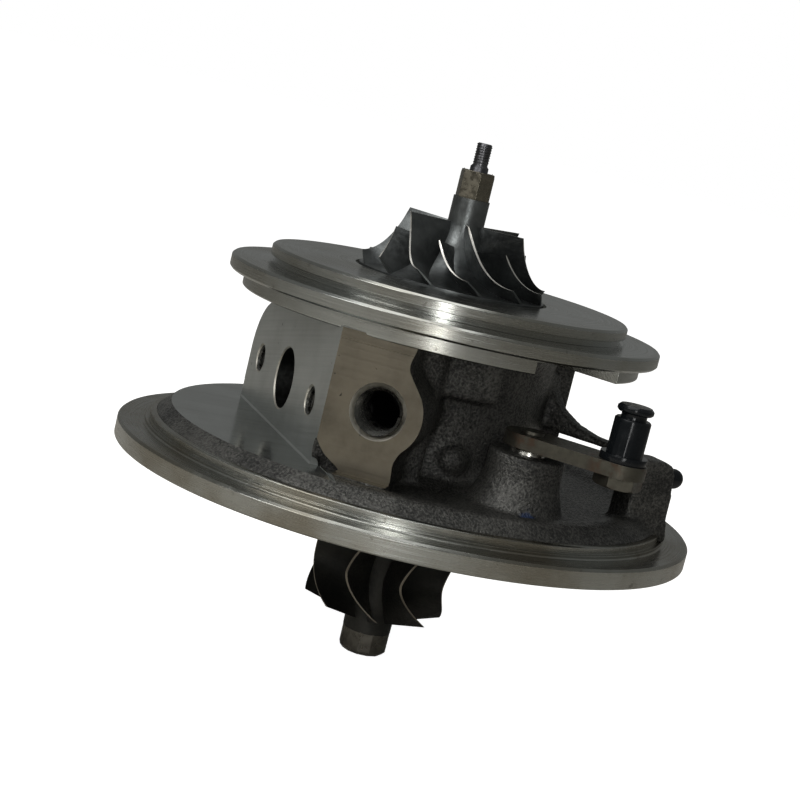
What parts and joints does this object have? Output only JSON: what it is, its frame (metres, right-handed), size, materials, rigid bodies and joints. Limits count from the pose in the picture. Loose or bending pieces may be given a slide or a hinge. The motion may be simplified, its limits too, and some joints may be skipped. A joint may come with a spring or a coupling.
{
  "type": "turbocharger cartridge",
  "caption": "Turbocharger cartridge: cast bearing housing between two round flanges, compressor and turbine wheels on one shaft, oil and coolant ports, and a swinging vane lever.",
  "frame": {"origin": "on the rotor axis, at the underside of the large turbine side flange", "axes": "+Z along the rotor axis to the compressor wheel, -X out of the oil drain pad"},
  "size_m": [0.16, 0.16, 0.1445],
  "materials": {
    "cast_body": "rough casting with machined flanges and pads",
    "plain_steel": "turned",
    "bright_steel": "ground",
    "spring_steel": "oiled",
    "black_steel": "black oxide, satin",
    "lever_steel": "heat tinted",
    "hot_alloy": "investment cast",
    "wheel_aluminium": "milled, anodised",
    "bearing_bronze": "turned",
    "shield_sheet": "pressed sheet",
    "seal_rubber": "matt"
  },
  "bodies": {
    "housing": {"bearing_housing": "cast_body", "seal_plate": "plain_steel", "seal_plate_o_ring": "seal_rubber", "seal_plate_circlip": "spring_steel", "thrust_bearing": "bearing_bronze", "journal_bearing": "bearing_bronze", "bearing_pin": "plain_steel", "turbine_seal_ring": "plain_steel", "compressor_seal_ring": "plain_steel", "heat_shield": "shield_sheet", "spindle_bush": "bright_steel", "spindle_seal_ring": "plain_steel", "stop_screw": "black_steel", "stop_screw_locknut": "plain_steel"},
    "rotor": {"rotor_shaft": "plain_steel", "turbine_wheel": "hot_alloy", "thrust_collar": "plain_steel", "oil_flinger": "plain_steel", "compressor_wheel": "wheel_aluminium", "compressor_nut": "plain_steel"},
    "lever": {"lever_spindle": "lever_steel", "crank_arm": "lever_steel", "crank_pin": "bright_steel", "actuator_lever": "lever_steel", "lever_pin": "black_steel", "lever_pin_nut": "lever_steel"}
  },
  "joints": [
    {"name": "rotor_spin", "type": "hinge", "parent": "housing", "child": "rotor", "pos_m": [0, 0, 0.03], "axis": [0, 0, 1], "continuous": true},
    {"name": "lever_swing", "type": "hinge", "parent": "housing", "child": "lever", "pos_m": [0.01535, -0.0423, 0.028], "axis": [0, 0, 1], "range_deg": [-30, 25]}
  ]
}
